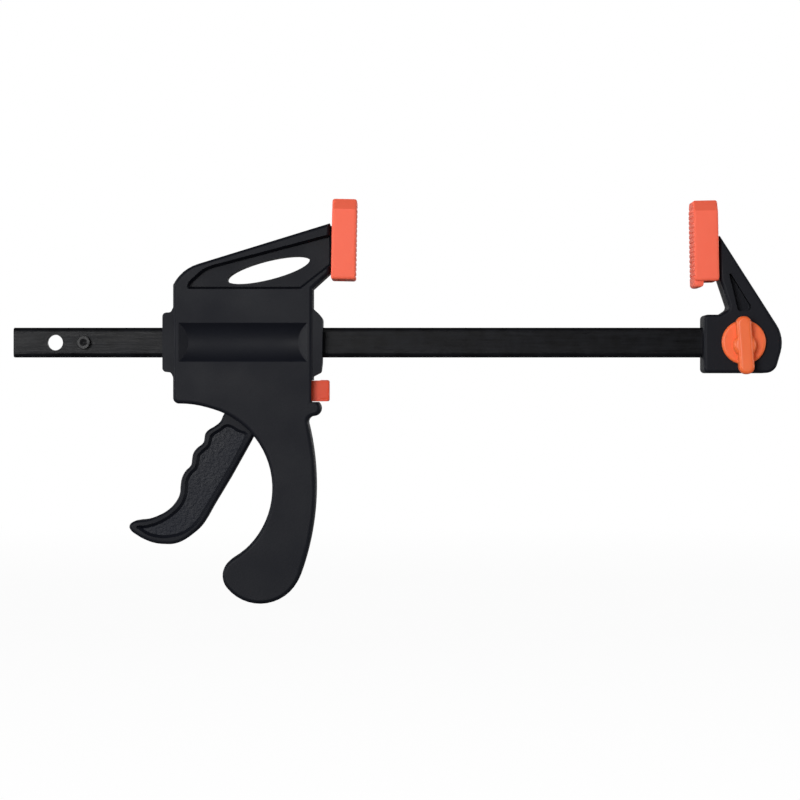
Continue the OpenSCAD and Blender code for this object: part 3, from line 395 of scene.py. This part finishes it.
room = {"ahead": 90, "beside": 20, "below": -80}   # reaches past the whole lever, in mm
cutterHalf = 3                               # half the thickness of what cuts a panel, in mm
trigger = mergedCopy("trigger", "squeezeTrigger")
lower = block((0, -room["beside"], room["below"]),
              (room["ahead"], room["beside"], triggerShape["cutAt"]))
combine(trigger, lower, "DIFFERENCE")        # keeps what is inside the housing
lever = curvedPlate(leverOutline, triggerShape["halfWide"], triggerShape["rim"],
                    triggerShape["rimSteps"])
upper = block((0, -room["beside"], triggerShape["cutAt"] + triggerShape["lap"]),
              (room["ahead"], room["beside"], 0))
combine(lever, upper, "DIFFERENCE")
combine(trigger, lever, "UNION", "MANIFOLD")
for side in (-1, 1):
    panel = curvedPlate(panelOutline, cutterHalf, triggerShape["panelSlope"], 0)
    floorAt = triggerShape["halfWide"] - triggerShape["panelDepth"]
    panel.location.y = side * (floorAt + cutterHalf) * mm
    combine(trigger, panel, "DIFFERENCE", "MANIFOLD")
softenEdges(trigger, triggerShape["edge"])
dress(trigger, nylon)
trigger.data.materials.append(grainedNylon)  # for the floors of the two sunk panels
for face in trigger.data.polygons:
    sideways = abs(face.normal.y) > 0.9
    sunk = triggerShape["halfWide"] * mm - abs(face.center.y) > triggerShape["panelDepth"] / 2 * mm
    if sideways and sunk and face.center.z < triggerShape["panelBelow"] * mm:
        face.material_index = 1
finished(trigger, "trigger_lever", "dark_nylon", "trigger")

# ---- bar ----
print("bar")
barShape = {"halfHigh": 4.0, "halfThick": 1.6, "chamfer": 0.7, "roundOver": 0.55, "crest": 0.2,
            "end": 0.35, "steps": 3, "roundSteps": 4, "holeEdge": 0.1}
bar = mergedCopy("bar", "steelBar")
tail = min(v.co.x for v in bar.data.vertices) / mm


def alongBar(a, b, halfY, halfZ):            # a long edge at this place off the middle line
    return abs(a.x - b.x) > longEdge and all(
        abs(abs(v.y) - halfY) < touch and abs(abs(v.z) - halfZ) < touch for v in (a, b))


bevelWhere(bar, barShape["end"], barShape["steps"],
           lambda a, b: abs(a.x - tail) < touch and abs(b.x - tail) < touch)
bevelWhere(bar, barShape["roundOver"], barShape["roundSteps"], lambda a, b: alongBar(
    a, b, barShape["halfThick"], barShape["halfHigh"] - barShape["chamfer"]))
bevelWhere(bar, barShape["crest"], barShape["steps"], lambda a, b: alongBar(
    a, b, barShape["halfThick"] - barShape["chamfer"], barShape["halfHigh"]))
softenEdges(bar, barShape["holeEdge"], angle=50)
dress(bar, blackOxide)
finished(bar, "bar_and_fixed_jaw", "black_oxide", "bar")

# ---- jaw pads ----
print("pads")
padShape = {"back": 0.3, "low": -1.0, "thickness": 6.6, "halfWidth": 9, "height": 21.6,
            "topCorner": 2.8, "lowCorner": 0.9, "edge": 0.65, "steps": 4, "softness": 0.25,
            "pitch": 1.3, "groove": 0.36, "grooveDepth": 0.2, "grooveSides": 16,
            "ridgedCorner": 0.6, "tab": 1.6, "tabThickness": 2.4, "tabInset": 0.8, "tabLap": 1.5,
            "pocketFrom": 1.6, "pocketTo": 3.8, "pocketHalf": 7.1, "pocketTop": 18.2,
            "neckTo": 2.6, "neckHalf": 4.1, "lean": 1.1}
pastPad = {"below": 3, "behind": 0.5, "beside": 1}   # how far the cuts reach past it, in mm
movingPadShape = {"x": 73.9, "z": 17.8, "neckTop": 14.0, "tab": False, "mirrored": False}
fixedPadShape = {"x": 178.15, "z": 17.4, "neckTop": 9.7, "tab": True, "mirrored": True}


def makePad(name, own):                      # built upright, then leant and put on its jaw
    low = padShape["low"]
    high = low + padShape["height"]
    back = padShape["back"]
    front = back + padShape["thickness"]
    wide = padShape["halfWidth"]
    steps = padShape["steps"]
    pad = block((back, -wide, low), (front, wide, high))
    bevelWhere(pad, padShape["topCorner"], 1,
               lambda a, b: abs(a.x - b.x) > longEdge and a.z > high - touch)
    bevelWhere(pad, padShape["lowCorner"], steps,
               lambda a, b: abs(a.x - b.x) > longEdge and a.z < low + touch)
    bevelWhere(pad, padShape["edge"], steps, lambda a, b: abs(a.x - b.x) < touch)
    if own["tab"]:
        tabWide = wide - padShape["tabInset"]
        tabLow = low - padShape["tab"]
        tab = block((front - padShape["tabThickness"], -tabWide, tabLow),
                    (front, tabWide, low + padShape["tabLap"]))
        bevelWhere(tab, padShape["lowCorner"], steps,
                   lambda a, b: abs(a.z - b.z) < touch and a.z < tabLow + touch)
        combine(pad, tab, "UNION")
    pocket = block((back + padShape["pocketFrom"], -padShape["pocketHalf"], low - pastPad["below"]),
                   (back + padShape["pocketTo"], padShape["pocketHalf"], padShape["pocketTop"]))
    combine(pad, pocket, "DIFFERENCE")
    neck = block((back - pastPad["behind"], -padShape["neckHalf"], low - pastPad["below"]),
                 (back + padShape["neckTo"], padShape["neckHalf"], own["neckTop"]))
    combine(pad, neck, "DIFFERENCE")
    groove = roundRod(front + padShape["groove"] - padShape["grooveDepth"],
                      low + padShape["pitch"], -wide - pastPad["beside"], wide + pastPad["beside"],
                      padShape["groove"], padShape["grooveSides"])
    ridged = padShape["height"] - padShape["topCorner"] * padShape["ridgedCorner"]
    count = int(ridged / padShape["pitch"])
    applyModifier(groove, "ARRAY", count=count, use_relative_offset=False, use_constant_offset=True,
                  constant_offset_displace=(0, 0, padShape["pitch"] * mm))
    combine(pad, groove, "DIFFERENCE")
    pad.name = pad.data.name = name
    softenEdges(pad, padShape["softness"], segments=3, angle=30)
    pad.rotation_euler = (0, math.radians(padShape["lean"]), 0)
    applyPlace(pad)
    if own["mirrored"]:
        pad.scale = (-1, 1, 1)
        applyPlace(pad)
        faceOutwards(pad)
    pad.location = (own["x"] * mm, 0, own["z"] * mm)
    applyPlace(pad)
    dress(pad, softPad)
    return pad


finished(makePad("movingPad", movingPadShape), "moving_jaw", "orange_soft", "moving_jaw_pad")
finished(makePad("fixedPad", fixedPadShape), "bar_and_fixed_jaw", "orange_soft", "fixed_jaw_pad")

# ---- release button ----
print("button")
buttonShape = {"z": -12.92, "from": 71.3, "to": 73.7, "halfHigh": 2.85, "halfWide": 3.6,
               "corner": 1.0, "dome": 0.5, "steps": 5, "edge": 0.15}
button = mergedCopy("release_button", "releaseButton")
head = block((buttonShape["from"], -buttonShape["halfWide"],
              buttonShape["z"] - buttonShape["halfHigh"]),
             (buttonShape["to"], buttonShape["halfWide"],
              buttonShape["z"] + buttonShape["halfHigh"]))
bevelWhere(head, buttonShape["corner"], buttonShape["steps"],
           lambda a, b: abs(a.x - b.x) > longEdge)
bevelWhere(head, buttonShape["dome"], buttonShape["steps"],
           lambda a, b: min(a.x, b.x) > buttonShape["to"] - touch)
combine(button, head, "UNION")
softenEdges(button, buttonShape["edge"], segments=3, angle=30)
dress(button, buttonNylon)
finished(button, "button", "orange_nylon", "release_button")

# ---- locking knob ----
print("knob")
knobShape = {"x": 184.45, "face": 7.1, "disc": 5.9, "discThick": 1.5, "rim": 0.7, "rimSteps": 4,
             "boss": 3.1, "bossHigh": 3.6, "bossRound": 1.2, "wingLong": 15.5, "wingWide": 4.1,
             "wingHigh": 4.0, "wingRound": 1.7, "wingFlat": 0.05, "wingDrop": 0.85, "steps": 8,
             "lean": 4, "neck": 3.2, "lugLong": 9.4, "lugWide": 2.4, "lugFrom": 4.2, "lugTo": 5.4,
             "bore": 2.02, "boreFrom": 1, "edge": 0.18}
top = knobShape["face"] + knobShape["discThick"]   # outer face of the disc
drop = knobShape["wingDrop"]
bossEnd = -top - knobShape["bossHigh"]
wingEnd = -top - knobShape["wingHigh"]
knob = roundRod(0, 0, -knobShape["face"], -top, knobShape["disc"], vertices=128)
bevelWhere(knob, knobShape["rim"], knobShape["rimSteps"],
           lambda a, b: max(a.y, b.y) < -top + touch)
boss = roundRod(0, -drop, -top + overlap, bossEnd, knobShape["boss"])
bevelWhere(boss, knobShape["bossRound"], knobShape["steps"],
           lambda a, b: max(a.y, b.y) < bossEnd + touch)
combine(knob, boss, "UNION")
halfWide, halfLong = knobShape["wingWide"] / 2, knobShape["wingLong"] / 2
wing = block((-halfWide, wingEnd, -halfLong - drop), (halfWide, -top + overlap, halfLong - drop))
bevelWhere(wing, halfWide - knobShape["wingFlat"], knobShape["steps"],
           lambda a, b: abs(a.y - b.y) > longEdge)
bevelWhere(wing, knobShape["wingRound"], knobShape["steps"],
           lambda a, b: max(a.y, b.y) < wingEnd + touch)
wing.rotation_euler = (0, math.radians(-knobShape["lean"]), 0)
applyPlace(wing)
combine(knob, wing, "UNION")
neck = roundRod(0, 0, -knobShape["face"] - overlap, -knobShape["lugFrom"], knobShape["neck"])
combine(knob, neck, "UNION")
lugs = block((-knobShape["lugWide"] / 2, -knobShape["lugTo"], -knobShape["lugLong"] / 2),
             (knobShape["lugWide"] / 2, -knobShape["lugFrom"], knobShape["lugLong"] / 2))
combine(knob, lugs, "UNION")
bore = roundRod(0, 0, knobShape["boreFrom"], -top, knobShape["bore"], vertices=48)
combine(knob, bore, "DIFFERENCE")
knob.name = knob.data.name = "wingKnob"
softenEdges(knob, knobShape["edge"], segments=3, angle=30)
knob.location = (knobShape["x"] * mm, 0, 0)
applyPlace(knob)
dress(knob, orangeNylon)
finished(knob, "knob", "orange_nylon", "locking_knob")

# ---- pieces inside the housing, kept as they are ----
print("inner pieces")
innerMaterials = {"lock_pin": zinc, "trigger_pin": zinc, "drive_plate_near": hardened,
                  "drive_plate_far": hardened, "brake_plate": hardened,
                  "drive_spring": springWire, "brake_spring": springWire}
for node, material in innerMaterials.items():
    dress(nodes[node], material)

# ---- floor ----
print("floor, lamps and camera")
low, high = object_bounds()
middle = Vector(((low[0] + high[0]) / 2, 0, (low[2] + high[2]) / 2))
floorLook = {"size": 6, "gap": 0.0001, "colour": "#a8a8a8", "whiteNear": 0.96,
             "fadeFrom": 0.15, "fadeTo": 0.6}   # sizes in metres
bpy.ops.mesh.primitive_plane_add(size=floorLook["size"],
                                 location=(middle.x, 0, low[2] - floorLook["gap"]))
floor = bpy.context.object
floor.name = "floor"
# matt paper sweep: grey to the lamps, white to the eye
material, tree, output, place = newMaterial("paleStudioFloor")
lightPath = add(tree, "LightPath")
matt = add(tree, "BsdfDiffuse", {"Color": linear(floorLook["colour"])})
white = add(tree, "Emission", {"Color": (1, 1, 1, 1), "Strength": 1})
away = add(tree, "VectorMath", links={0: place}, operation="LENGTH")
fade = add(tree, "MapRange",
           {"From Min": floorLook["fadeFrom"], "From Max": floorLook["fadeTo"],
            "To Min": floorLook["whiteNear"], "To Max": 1},
           {"Value": away.outputs["Value"]})
seen = add(tree, "Math", links={0: lightPath.outputs["Is Camera Ray"], 1: fade.outputs["Result"]},
           operation="MULTIPLY")
blend = add(tree, "MixShader", links={0: seen.outputs[0], 1: matt.outputs[0], 2: white.outputs[0]})
tree.links.new(blend.outputs[0], output.inputs["Surface"])
dress(floor, material)

# ---- world ----
worldLook = {"ambient": 0.2, "frontGloss": 0.05, "whiteBehind": 0.96}
world = bpy.data.worlds.new("studio")
bpy.context.scene.world = world
world.use_nodes = True
tree = world.node_tree
tree.nodes.clear()
output = add(tree, "OutputWorld")
lightPath = add(tree, "LightPath")
facing = add(tree, "SeparateXYZ", links={0: add(tree, "TexCoord").outputs["Generated"]})
mirrored = add(tree, "MapRange",
               {"From Min": worldLook["whiteBehind"], "From Max": 1.0,
                "To Min": worldLook["frontGloss"], "To Max": 1},
               {"Value": facing.outputs["Y"]})   # white backdrop behind, dim room in front
shiny = add(tree, "Math",
            links={0: lightPath.outputs["Is Glossy Ray"],
                   1: lightPath.outputs["Is Transmission Ray"]},
            operation="MAXIMUM")
level = add(tree, "Mix", {"A": worldLook["ambient"]},
            {"Factor": shiny.outputs[0], "B": mirrored.outputs["Result"]})
strength = add(tree, "Mix", {"B": 1},
               {"Factor": lightPath.outputs["Is Camera Ray"], "A": level.outputs["Result"]})
sky = add(tree, "Background", {"Color": (1, 1, 1, 1)}, {"Strength": strength.outputs["Result"]})
tree.links.new(sky.outputs[0], output.inputs["Surface"])

# ---- lamps ----
lamps = {                                    # place and size in metres, watts
    "keySoftbox": ((-0.26, -1.15, 0.12), 0.45, 9.3),
    "topStrip": ((0.1, -0.9, 0.7), 0.35, 1.0),
    "leftEdge": ((-1.2, -0.2, 0.12), 0.4, 6.0),
    "rightEdge": ((1.35, -0.3, 0.1), 0.4, 3.5),
    "backLeft": ((-0.8, 0.8, 0.35), 0.6, 4.0),
    "backRight": ((1.0, 0.9, 0.3), 0.6, 4.0),
}
for name, (place, size, watts) in lamps.items():
    bpy.ops.object.light_add(type="AREA", location=place)
    lamp = bpy.context.object
    lamp.name = name
    lamp.data.size = size
    lamp.data.energy = watts
    lamp.rotation_euler = (middle - lamp.location).to_track_quat("-Z", "Y").to_euler()

# ---- camera ----
cameraView = {"x": 92.65, "y": -1000, "z": -15.43, "lens": 167.27, "sensor": 36}
bpy.ops.object.camera_add(location=[cameraView[axis] * mm for axis in "xyz"],
                          rotation=(math.radians(90), 0, 0))
camera = bpy.context.object
camera.data.lens = cameraView["lens"]
camera.data.sensor_width = cameraView["sensor"]
bpy.context.scene.camera = camera
bpy.context.scene.view_settings.view_transform = "Standard"
